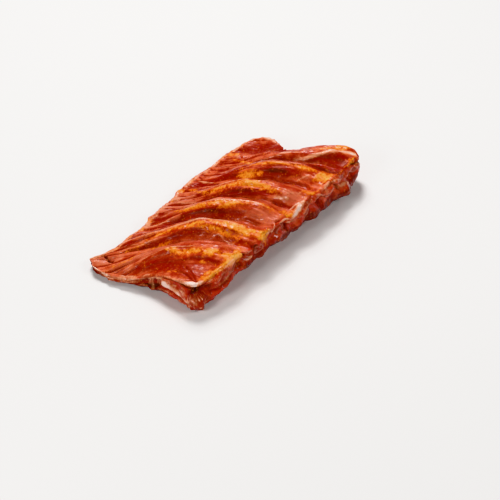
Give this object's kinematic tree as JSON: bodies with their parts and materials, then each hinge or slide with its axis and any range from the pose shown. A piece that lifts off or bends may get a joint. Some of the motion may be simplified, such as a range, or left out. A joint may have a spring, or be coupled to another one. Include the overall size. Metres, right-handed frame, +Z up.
{
  "type": "marinated pork rib rack",
  "caption": "Slab of marinated pork ribs lying bone side up: curved rib ridges, a thick sawn edge with bone ends and a thin belly edge.",
  "frame": {"origin": "under the middle of the rack's box, on the surface that it lies on", "axes": "+X along the rack, across the ribs; +Y from the sawn backbone edge to the thin belly edge; +Z up, out of the bone side"},
  "size_m": [0.2576, 0.1354, 0.0395],
  "materials": {
    "marinated_meat": "wet orange-red marinade over dark red meat, with yellow fat on the ridges",
    "rib_bone": "sawn bone end, pale pink with a darker middle"
  },
  "bodies": {
    "root": {"rib_meat": "marinated_meat", "rib_bone_1": "rib_bone", "rib_bone_2": "rib_bone", "rib_bone_3": "rib_bone", "rib_bone_4": "rib_bone", "rib_bone_5": "rib_bone", "rib_bone_6": "rib_bone"}
  },
  "joints": []
}
